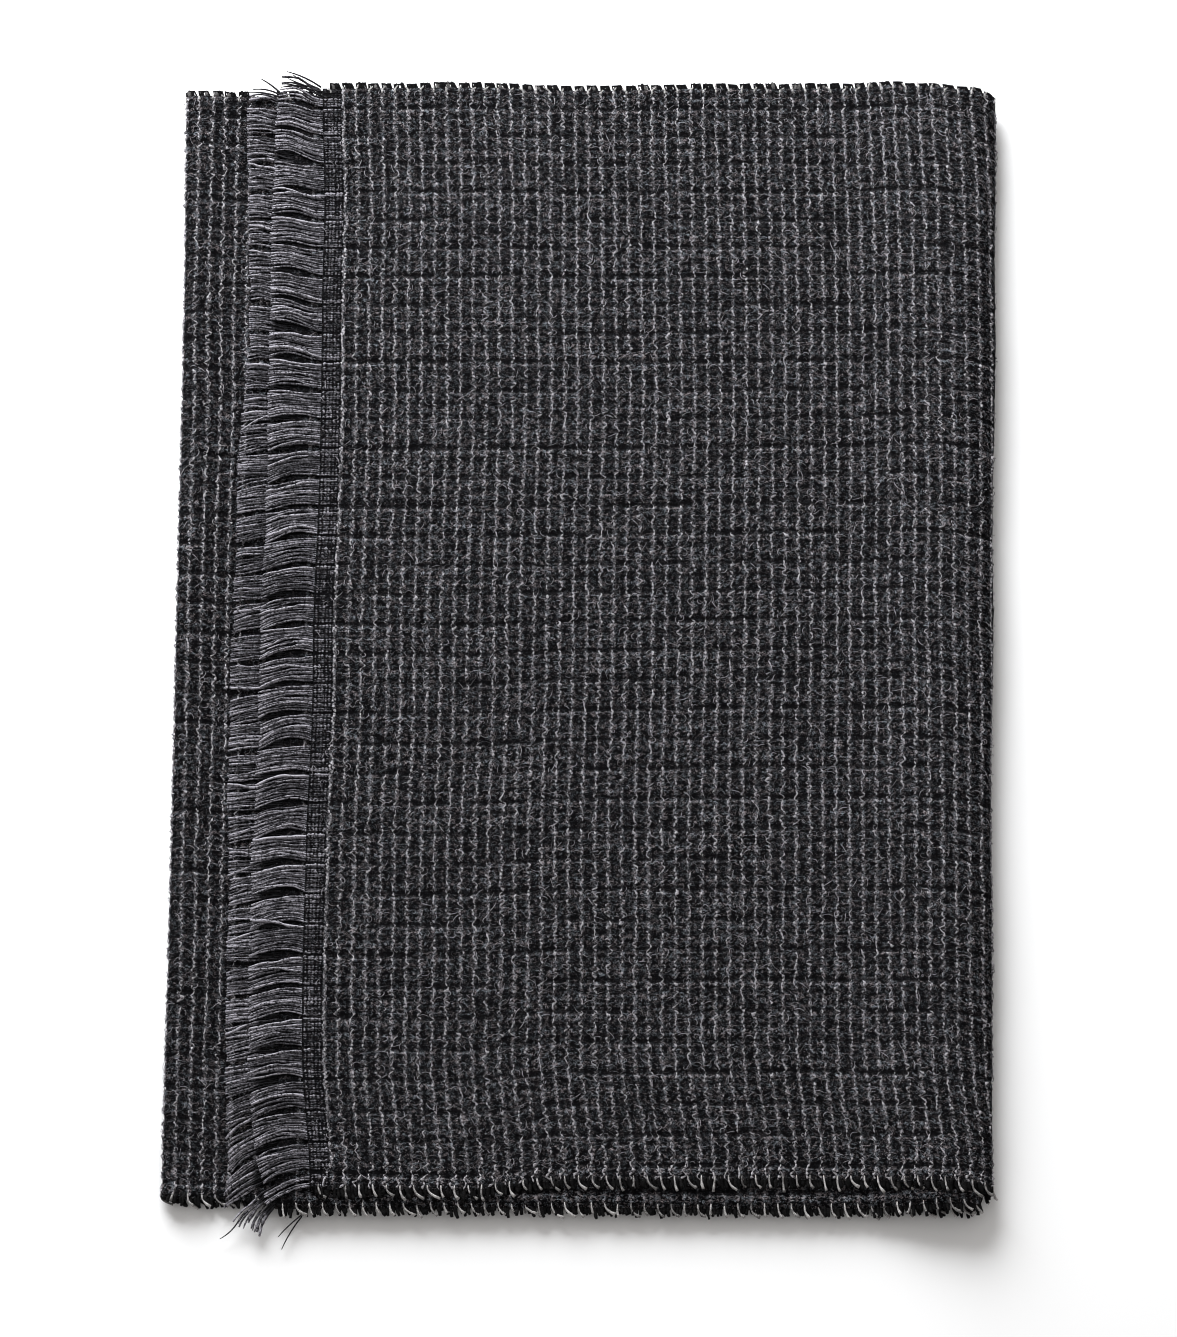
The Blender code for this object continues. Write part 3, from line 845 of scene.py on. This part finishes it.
def fringe(name, hem_along, inward, thin_until, shift, reach, path_x, path_z, seed, crest, drop, rise_by,
           sweep, pinched, brightness, root_shade, dark_from):
    """One row of fringe from a hem, as yarns in locks that follow a path in X and Z.  inward is
    the way along the warp into the cloth, thin_until how far up every third yarn is left out, and
    shift how far up the first lock lies.  reach is the row's length by metres from the lower
    selvedge.  crest and drop are the mean and spread of each lock's bow upwards and of its fall at
    the tips, and rise_by is how far the locks of the upper half sweep up instead.  sweep is the
    further fall at the lower selvedge and how far up it begins, and pinched how narrow each lock
    is midway.  root_shade is how much of the wool's tone its start keeps, as painted shade where
    the row lies under another, and dark_from where its last yarns are black ones."""
    rng = np.random.default_rng(seed)
    locks = int(CLOTH_WIDTH / LOCK_PITCH) + 1
    lock = np.repeat(np.arange(-1, locks), LOCK_YARNS)
    number = np.tile(np.arange(LOCK_YARNS), locks + 1)
    middle = (lock + 1.0) * LOCK_PITCH + shift  # the dark bands are half way between the locks
    offset = ((number + 0.5) / LOCK_YARNS - 0.5) * LOCK_WIDTH
    root = middle + offset
    inside = (root > 0.001) & (root < CLOTH_WIDTH - 0.001) & ((root > thin_until) | (number % 3 > 0))
    lock, number, offset, root = (v[inside] for v in (lock, number, offset, root))
    count = len(root)

    def per_lock(mean, spread, field):
        """A value that all the yarns of a lock share, as a column."""
        return (mean + spread * 1.6 * wander(lock * 1.37 + 0.5, 0.5, seed + field))[:, None]

    def from_place(start, length):
        """0 up to a place along the hem, easing to 1, as a column."""
        return ease((root - start) / length)[:, None]

    # in the hem: pairs of yarns that go over and under the fine picks
    in_hem = np.linspace(HEM_REACH, 0.0007, HEM_RINGS)[None, :]
    over = (np.arange(HEM_RINGS) % 2)[None, :] * rng.uniform(0.45, 1.0, (count, HEM_RINGS))
    over = over + rng.uniform(0.0, 0.22, (count, HEM_RINGS))
    hem_lift = WALL / 2 - HEM_DEPTH + HEM_RELIEF * over + 0.00008 * rng.standard_normal(over.shape)
    evened = root + offset * 0.7 * LOCK_GAP / LOCK_WIDTH  # hardly any gap between locks
    paired = (evened + np.where(number % 2, -PAIR_SHIFT, PAIR_SHIFT))[:, None]
    paired = paired + rng.normal(0, 0.00016, over.shape)
    picks = in_hem + 0.00045 * wander(root[:, None] / 0.0026, in_hem / 0.003, seed + 6)
    picks = hem_along + inward * (picks + 0.00014 * rng.standard_normal(over.shape))
    hem_spots, _ = place(picks, paired, hem_lift * inward)

    # free of the hem: each lock is pinched in its middle and fans out again at its tips
    share = np.linspace(0, 1, FRINGE_RINGS)[None, :]
    length = read(reach, root, 1)[:, None] + per_lock(0.0, 0.0005, 5)
    length = length * vary(rng, 0.010, (count, 1))
    pinch = per_lock(pinched, 0.5 * pinched, 1)
    fan = per_lock(-0.02, 0.12, 2)
    spread = offset[:, None] * (fan * share ** 2 - pinch * np.sin(math.pi * share))
    bow = per_lock(*crest, 3) * np.sin(math.pi * share ** 0.8)
    upper_half = from_place(UPPER_HALF, UPPER_FADE)
    bow = bow * (1 - upper_half)
    fall = per_lock(*drop, 4) * share ** 2.2 * (1 - 0.7 * upper_half)
    bend = (1.7 - 0.5 * ease((0.045 - root) / 0.030))[:, None]  # the last locks lie straighter
    swept = (sweep[0] * ease((sweep[1] - root) / sweep[1]))[:, None]
    swept = swept * np.minimum(length / FULL_SWEEP, 1)
    fall = fall + swept * share ** bend
    fall = fall - rise_by * upper_half * (1 + per_lock(0.0, 0.35, 7)) * ease(share / 0.9)
    fall = fall - 0.5 * rise_by * from_place(TOP_LOCKS, TOP_FADE) * ease(share / 0.7)
    astray = rng.random((count, 1)) < STRAYS
    stray = astray * rng.normal(0, STRAY_SPREAD, (count, 1)) * share ** 1.5
    seeds = rng.random((2, count, 1)) * 50
    ripple = RIPPLE * wander(share * 4.5 + seeds[0], seeds[1], seed + 5) * ease(share * 4)
    lateral = spread + bow - fall + stray + ripple
    run, rise_step = length / (FRINGE_RINGS - 1), np.diff(bow - fall, axis=1)
    onward = np.sqrt(np.maximum(run ** 2 - rise_step ** 2, (0.25 * run) ** 2))
    out = np.concatenate([np.zeros((count, 1)), onward.cumsum(1)], 1)

    start, _ = place(np.full(count, hem_along), root, 0.0)
    x = start[:, :1] - out
    level = (number % 2 * 2 - 1) * 0.00020 + 0.00012 * rng.standard_normal(count) + 0.0005 * astray[:, 0]
    z = np.interp(-x, -np.array(path_x), path_z) + level[:, None] * ease(share * 6 + 0.2)
    routes = np.concatenate([hem_spots, np.stack([x, start[:, 1:2] + lateral, z], -1)], 1)
    upright = np.broadcast_to([0.0, 0.0, 1.0], routes.shape)

    over = np.concatenate([over, np.full((count, FRINGE_RINGS), 0.6)], 1)
    share = np.concatenate([np.zeros((1, HEM_RINGS)), share], 1)
    radii = YARN_RADIUS * vary(rng, 0.14, (count, 1)) * vary(rng, 0.16, routes.shape[:2])
    radii = radii * (0.72 + 0.28 * over) * (1 - 0.20 * share ** 8)
    tone = brightness * np.exp(0.35 * rng.standard_normal((count, 1)))
    thick = (rng.random((count, 1)) < THICK_YARNS) | astray
    radii = np.where(thick, radii * 1.22, radii)
    tone = np.where(thick, tone * 2.1, tone)
    tone = np.where(np.abs(offset)[:, None] > 0.43 * LOCK_WIDTH, tone * 1.7, tone)
    tone = np.where(root[:, None] > dark_from, tone * 0.15, tone)
    tones = tone * np.exp(0.28 * rng.standard_normal(routes.shape[:2])) * (0.82 + 2.0 * share ** 10)
    tones *= 0.42 + 0.88 * over
    # painted shade: the start of a row that lies under another row is coloured darker
    tones *= root_shade + (1 - root_shade) * ease((share - 0.37) / 0.12)
    return strands(name, routes, upright, radii, tones, 4, FRINGE_WOOL, 0.8)


FRINGE_WOOL = spun_wool("fringe wool", (0.008, 0.008, 0.009, 1), (0.30, 0.288, 0.32, 1), 1.8, 1.0)
UPPER_TIP_X = -0.1895
upper_x = (UPPER_HEM_X + LEAD, LOWER_HEM_X, (LOWER_HEM_X + UPPER_TIP_X) / 2, UPPER_TIP_X)
upper_top = layer_z(3) - FRINGE_LIFT
upper_low = LOWER_FRINGE_Z + FRINGE_THICK + LAYER_GAP
upper_z = (upper_top, upper_top, (upper_top + upper_low) / 2, upper_low)
# Metres from the lower selvedge, length of the fringe
UPPER_REACH = (
    (0.000, 0.0268),
    (0.014, 0.0285),
    (0.030, 0.0310),
    (0.600, 0.0315),
    (0.660, 0.0300),
    (0.700, 0.0265),
)
LOWER_REACH = (
    (0.000, 0.0170),
    (0.007, 0.0230),
    (0.012, 0.0310),
    (0.016, 0.0335),
    (0.026, 0.0335),
    (0.036, 0.0312),
    (0.160, 0.0298),
    (0.290, 0.0320),
    (0.450, 0.0302),
    (0.540, 0.0248),
    (0.630, 0.0268),
    (0.700, 0.0290),
)
upper = fringe("upper_fringe", hem_along=0.0, inward=1, thin_until=0.012, shift=0.0,
               reach=UPPER_REACH, path_x=upper_x, path_z=upper_z, seed=61, crest=(0.0010, 0.0010),
               drop=(0.0042, 0.0022), rise_by=0.0068, sweep=(0.0080, 0.032), pinched=0.12,
               brightness=0.40, root_shade=1.0, dark_from=0.6935)
# the lower row's start, under the upper row, is painted darker as shade
lower = fringe("lower_fringe", hem_along=WOVEN_END, inward=-1, thin_until=0.001, shift=0.0065,
               reach=LOWER_REACH, path_x=(0, -1), path_z=(LOWER_FRINGE_Z,) * 2, seed=71,
               crest=(-0.0006, 0.0018), drop=(0.0034, 0.0020), rise_by=0.0045,
               sweep=(0.0165, 0.110), pinched=0.04, brightness=0.33, root_shade=0.10,
               dark_from=CLOTH_WIDTH)
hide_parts("top_fringe")
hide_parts("under_fringe")
# A few long hairs stand off both ends.
# Start x and y, height, heading in degrees, length, curl
HAIRS = (
    (-0.1590, 0.3600, 0.0100, 146, 0.0240, 0.20),
    (-0.1600, 0.3598, 0.0098, 152, 0.0195, -0.25),
    (-0.1590, 0.3590, 0.0100, 160, 0.0215, -0.20),
    (-0.1600, 0.3580, 0.0098, 166, 0.0200, 0.30),
    (-0.1820, 0.3550, 0.0085, 134, 0.0190, 0.15),
    (-0.1825, 0.3550, 0.0083, 152, 0.0190, 0.45),
    (-0.1830, 0.3545, 0.0084, 161, 0.0200, 0.25),
    (-0.1955, -0.3520, 0.0060, 236, 0.0160, -0.45),
    (-0.1600, -0.3500, 0.0060, 221, 0.0180, 0.10),
    (-0.1600, -0.3500, 0.0050, 236, 0.0220, 0.15),
)


def long_hairs():
    """The long hairs, as one joined mesh."""
    table = np.array(HAIRS)
    share = np.linspace(0, 1, FRINGE_RINGS)[None, :]
    start_x, start_y, height, heading, length, curl = (table[:, [i]] for i in range(6))
    angle = np.radians(heading) + curl * (share - 0.3) * 1.6
    run = length / (FRINGE_RINGS - 1)
    x = start_x + np.cos(angle).cumsum(1) * run
    y = start_y + np.sin(angle).cumsum(1) * run
    routes = np.stack([x, y, height - 0.002 * share ** 2], -1)
    radii = np.where(start_y > 0, 0.00060, 0.00042) * (1 - 0.5 * share ** 3)
    upright = np.broadcast_to([0.0, 0.0, 1.0], routes.shape)
    return strands("fringe_hairs", routes, upright, radii, np.full(x.shape, 0.06), 4, FRINGE_WOOL)


hairs = long_hairs()
for row in (upper, lower, hairs):
    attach(row, "root")

# ---- Selvedge tufts ---------------------------------------------------------------------------
# Along the lower selvedge every pick is cut a little past the last warp end, so each shows as a
# short loose tuft: three thick black ones and one thin light one in turn.  Along the upper one the
# black picks turn back in loops between the light ones.
TUFT_RINGS = 7
TUFT_START = 0.0030  # how far inside the last end a tuft begins to show
INNER_CREST = STRIP_END + 0.428  # where the inner pair turns round its fold
BLACK_TONE = 0.004
CUT_BLACK, CUT_LIGHT = 0.0040, 0.0046  # length past the last end of a cut black and a light tuft
BLACK_TUFT, LIGHT_TUFT = 0.00120, 0.00070  # and their radii
TRIM = 0.0032  # how much shorter the cut tufts are where a stretch starts at a fold
LEFT_LEAN = 0.0032  # how far those of the left fold lean along the warp
LIGHT_HOOK, HOOK_SPREAD = 0.0031, 0.0017  # how far the tips of the light tufts hook round
LOOP_TALL, LOOP_HALF = 0.0041, 0.0027  # height of a loop past the last end, and half its width
BAR_SHARE, STUB_SHARE = 0.86, 0.95  # of that height, to a loop's middle line and its stubs' tips
LOOP_RADIUS = 0.00074
STUB_RADIUS, STUB_SIDE = 0.00128, 0.00104  # of the two picks inside a loop
END_RADIUS = 0.00060  # of a light pick's end between two loops


def cut_ends(start, end, face, seed):
    """The cut picks along the lower selvedge of one stretch.  face is 1 where its outer side shows
    and -1 where its inner side does."""
    rng = np.random.default_rng(seed)
    first = math.ceil((start - FIRST_LINE) / PICK)
    number = np.arange(first, math.floor((end - FIRST_LINE) / PICK) + 1)
    number = number[number != 0]
    light = number % 4 == 0
    count = len(number)
    share = np.linspace(0, 1, TUFT_RINGS)[None, :]
    pick_along = number * PICK + FIRST_LINE
    reach = np.where(light, CUT_LIGHT, CUT_BLACK) * vary(rng, 0.20, count)
    from_fold = face > 0 and start > TOP_END
    reach = reach - TRIM * ease((0.020 - (pick_along - start)) / 0.008) * from_fold
    out = -TUFT_START + (TUFT_START + reach[:, None]) * share
    lean = 0.0012 * wander(number / 14.0, 0.3, seed) + 0.0007 * rng.standard_normal(count)
    lean = lean - LEFT_LEAN * ease((0.030 - np.abs(pick_along - BASE_END)) / 0.012)
    along = pick_along[:, None] + lean[:, None] * share ** 1.5
    top_lift = np.where(light, WALL / 2, WALL / 2 - 0.00105)[:, None]
    droop = np.where(light, 0.0009, 0.0007)[:, None] * vary(rng, 0.4, (count, 1))
    beyond = ease((out + 0.0005) / 0.004)
    lift = top_lift - 0.0002 - droop * beyond + 0.00012 * rng.standard_normal(out.shape)
    routes, upright = place(along, -out, lift * face)
    hook = np.where(light, LIGHT_HOOK + HOOK_SPREAD * rng.standard_normal(count), 0.0008)[:, None]
    hook = hook * (1 - 0.8 * ease((0.012 - np.abs(pick_along - TOP_END)) / 0.006))[:, None]
    routes[..., 0] += hook * share ** 3.2
    thick = np.where(light, LIGHT_TUFT, BLACK_TUFT)[:, None]
    radii = thick * vary(rng, 0.14, out.shape) * np.where(
        light[:, None], 0.60 + 0.65 * share ** 2, 1 - 0.30 * share ** 4)
    radii[:, 0] *= 0.5
    bright = np.where(light, 0.74, 0.012)[:, None] * np.exp(0.35 * rng.standard_normal((count, 1)))
    tones = np.clip(bright * np.exp(0.25 * rng.standard_normal(out.shape)), BLACK_TONE, 1.5)
    return routes, upright, radii, tones


def sunk_in(out):
    """How far the black picks lie under the nap short of the last warp end."""
    return 0.0010 * ease((0.0003 - out) / 0.0012)


def turned_loops(start, end, face, seed):
    """The black picks' loops and the light picks' ends along the upper selvedge of one stretch."""
    rng = np.random.default_rng(seed)
    first = math.ceil((start + 0.0005 - FIRST_LINE) / LINE_PITCH)
    number = np.arange(first, math.floor((end - 0.004 - FIRST_LINE) / LINE_PITCH) + 1)
    middle = (FIRST_LINE + (number + 0.5) * LINE_PITCH)[:, None]
    middle = middle[middle[:, 0] < end - 0.003]
    count = len(middle)
    half = LOOP_HALF * vary(rng, 0.05, (count, 1))
    near_fold = ease((0.115 - np.abs(middle - TOP_END)) / 0.05)  # they lie shorter on the right fold
    tall = TUFT_START + LOOP_TALL * (1 - 0.45 * near_fold) * vary(rng, 0.08, (count, 1))
    lean = -0.0016 + 0.0004 * rng.standard_normal((count, 1))
    rounded = np.array([[0.0, 0.62, 0.99, 0.96, 0.99, 0.62, 0.0]])
    loop_along = middle + half * np.array([[-1.0, -1.0, -0.94, 0.0, 0.94, 1.0, 1.0]]) + lean * rounded
    loop_out = BAR_SHARE * tall * rounded - TUFT_START + 0.00015 * rng.standard_normal((count, TUFT_RINGS))
    loop_lift = WALL / 2 - 0.0009 - sunk_in(loop_out)
    loop_radii = LOOP_RADIUS * vary(rng, 0.12, (count, TUFT_RINGS))
    loop_tones = np.full((count, TUFT_RINGS), BLACK_TONE)

    # two more black picks end inside each loop
    share = np.linspace(0, 1, TUFT_RINGS)[None, :]
    side = np.repeat([[-STUB_SIDE], [STUB_SIDE]], count, axis=0)
    stub_along = np.tile(middle + lean * share, (2, 1)) + side + 0.0002 * rng.standard_normal(side.shape)
    stub_tall = STUB_SHARE * np.tile(tall, (2, 1)) * vary(rng, 0.05, side.shape)
    stub_out = stub_tall * share - TUFT_START
    stub_lift = WALL / 2 - 0.0013 - sunk_in(stub_out)
    stub_radii = STUB_RADIUS * vary(rng, 0.08, stub_out.shape) * (1 - 0.45 * share ** 8)
    stub_tones = BLACK_TONE * np.where(rng.random(side.shape) < 0.2, 40.0, 1.0) * (
        1 + 0.5 * rng.random(stub_out.shape))

    # and each light pick ends between two loops
    ends = (FIRST_LINE + number * LINE_PITCH)[:, None]
    end_out = (0.0045 + 0.0008 * rng.standard_normal(ends.shape)) * share - TUFT_START
    hook = 0.0016 * rng.standard_normal(ends.shape)
    end_along = ends + hook * ease((share - 0.4) / 0.6)
    end_lift = np.full(end_out.shape, WALL / 2 - 0.0004)
    end_radii = np.full(end_out.shape, END_RADIUS) * (1 - 0.4 * share ** 4)
    end_tones = 0.7 * np.exp(0.4 * rng.standard_normal(end_out.shape))

    along, out, lift, radii, tones = (np.concatenate(parts) for parts in (
        (loop_along, stub_along, end_along), (loop_out, stub_out, end_out),
        (loop_lift, stub_lift, end_lift), (loop_radii, stub_radii, end_radii),
        (loop_tones, stub_tones, end_tones)))
    routes, upright = place(along, CLOTH_WIDTH + out, lift * face)
    return routes, upright, radii, tones


TUFT_WOOL = spun_wool("tuft wool", (0.0030, 0.0030, 0.0034, 1), (0.45, 0.435, 0.43, 1), 2.0, 0.4)


def tuft_piece(name, stretches, seed):
    """The tufts of both selvedges along some stretches, as one joined mesh."""
    sets = [edge(start, end, face, seed + i)
            for i, (start, end, face) in enumerate(stretches) for edge in (cut_ends, turned_loops)]
    joined = [np.concatenate([part[i] for part in sets]) for i in range(4)]
    piece = strands(name, *joined, 6, TUFT_WOOL)
    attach(piece, "root")
    return piece


top_tufts = tuft_piece("top_tufts", [(0.002, TOP_END - 0.001, 1)], 100)
base_tufts = tuft_piece("bottom_tufts", [(TOP_END + 0.001, BASE_END - 0.001, 1)], 110)
strip_tufts = tuft_piece("left_fold_tufts", [(BASE_END + 0.001, STRIP_END - 0.001, 1)], 120)
inner_tufts = tuft_piece("inner_tufts", [(STRIP_END + 0.001, INNER_CREST, 1),
                                         (INNER_CREST + 0.001, WOVEN_END - 0.001, -1)], 130)

# ---- Loose fibres -----------------------------------------------------------------------------
# Brushing lifts fine wool fibres all over the cloth, most of them from the light picks.  They are
# caught in the nap and lie on it in curls.
FIBRE_RINGS = 5
FIBRE_RADIUS = 0.00017
FIBRE_LENGTHS = (0.0025, 0.0065)
FIBRE_CURL = 3.0  # spread of how far a fibre turns from end to end, in radians
FROM_PICKS = 0.7  # the share of fibres that come from the light picks


def loose_fibres(name, start, end, count, seed):
    """Curled fibres lying on the outer side between two places along the warp."""
    rng = np.random.default_rng(seed)
    share = np.linspace(-0.5, 0.5, FIBRE_RINGS)[None, :]
    along = rng.uniform(start + 0.004, end - 0.004, (count, 1))
    across = rng.uniform(0.003, CLOTH_WIDTH - 0.003, (count, 1))
    line = FIRST_LINE + np.rint((along - FIRST_LINE) / LINE_PITCH) * LINE_PITCH
    from_pick = rng.random((count, 1)) < FROM_PICKS
    along = np.where(from_pick, line + rng.normal(0, 0.0011, (count, 1)), along)
    heading = rng.uniform(0, math.pi, (count, 1))
    curl = rng.normal(0, FIBRE_CURL, (count, 1))
    length = rng.uniform(*FIBRE_LENGTHS, (count, 1))
    angle = heading + curl * share
    step = length / (FIBRE_RINGS - 1)
    along = along + (np.cos(angle) * step).cumsum(1)
    across = across + (np.sin(angle) * step).cumsum(1)
    lift = WALL / 2 + 0.00010 + rng.uniform(0, 0.0007, (count, 1)) * (1 - (share * 2) ** 2)
    lift = lift + 0.00015 * rng.standard_normal((count, FIBRE_RINGS))
    routes, upright = place(along, across, lift)
    radii = np.full(routes.shape[:2], FIBRE_RADIUS) * rng.uniform(0.5, 1.3, (count, 1))
    radii[:, [0, -1]] *= 0.4
    tones = rng.uniform(0.2, 1.3, (count, 1)) ** 1.5 * np.ones(radii.shape)
    return strands(name, routes, upright, radii, tones, 3, FIBRE_WOOL)


FIBRE_WOOL = spun_wool("fibre wool", (0.01, 0.01, 0.011, 1), (0.43, 0.415, 0.45, 1), 1.2, 0.6)
top_fibres = loose_fibres("top_fibres", 0.0, TOP_END, 6000, 201)
strip_fibres = loose_fibres("left_fold_fibres", BASE_END, STRIP_END, 750, 202)
for fibres in (top_fibres, strip_fibres):
    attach(fibres, "root")

# ---- Floor ------------------------------------------------------------------------------------
# A plain white matt table top, which the scarf lies on.  It is part of the stage, not of the
# scarf.
FLOOR_SIDE = 6.0
FLOOR_DROP = 0.0002  # from the underside of the cloth
floor_bm = bmesh.new()
bmesh.ops.create_grid(floor_bm, x_segments=1, y_segments=1, size=FLOOR_SIDE / 2)
table_white = bpy.data.materials.new("white table")
table_white.use_nodes = True
floor_shader = table_white.node_tree.nodes["Principled BSDF"]
floor_shader.inputs["Base Color"].default_value = (0.90, 0.90, 0.90, 1)
floor_shader.inputs["Roughness"].default_value = 0.9
floor_shader.inputs["Specular IOR Level"].default_value = 0.1
floor = finish_mesh("floor", floor_bm, table_white)
floor.data.transform(mathutils.Matrix.Translation((0, 0, -FLOOR_DROP)))

# ---- Light and camera -------------------------------------------------------------------------
# One large soft light from beyond the far edge, a little to the left, and pale light all round.
# The camera looks down on the scarf from the near side, tilted from the vertical.
KEY_SIZE, KEY_DISTANCE, KEY_POWER = 2.0, 2.1, 138
ROOM_LIGHT = 0.49
scene = bpy.context.scene
key_data = bpy.data.lights.new("key", "AREA")
key_data.shape = "DISK"
key_data.size = KEY_SIZE
key_data.energy = KEY_POWER
key_data.color = (0.98, 1.0, 1.02)
key = bpy.data.objects.new("key", key_data)
key_direction = mathutils.Vector((-0.38, 1.0, 0.48)).normalized()
key.location = key_direction * KEY_DISTANCE
key.rotation_euler = key_direction.to_track_quat("Z", "Y").to_euler()
scene.collection.objects.link(key)
world = bpy.data.worlds.new("pale room")
world.use_nodes = True
room = world.node_tree.nodes["Background"]
room.inputs["Color"].default_value = (1.0, 0.975, 0.955, 1)
room.inputs["Strength"].default_value = ROOM_LIGHT
scene.world = world
scene.view_settings.view_transform = "Standard"
scene.cycles.filter_width = 1.0

CAMERA_TILT = math.radians(24)
CAMERA_DISTANCE = 4.362
CAMERA_LENS = 203.2
AIM = (-0.001, -0.014, 0.0)
camera_data = bpy.data.cameras.new("camera")
camera_data.sensor_width = 36.0
camera_data.sensor_fit = "AUTO"
camera_data.lens = CAMERA_LENS
camera_data.clip_end = 30
camera = bpy.data.objects.new("camera", camera_data)
camera.location = (AIM[0], AIM[1] - CAMERA_DISTANCE * math.sin(CAMERA_TILT),
                   CAMERA_DISTANCE * math.cos(CAMERA_TILT))
camera.rotation_euler = (CAMERA_TILT, 0, 0)
scene.collection.objects.link(camera)
scene.camera = camera
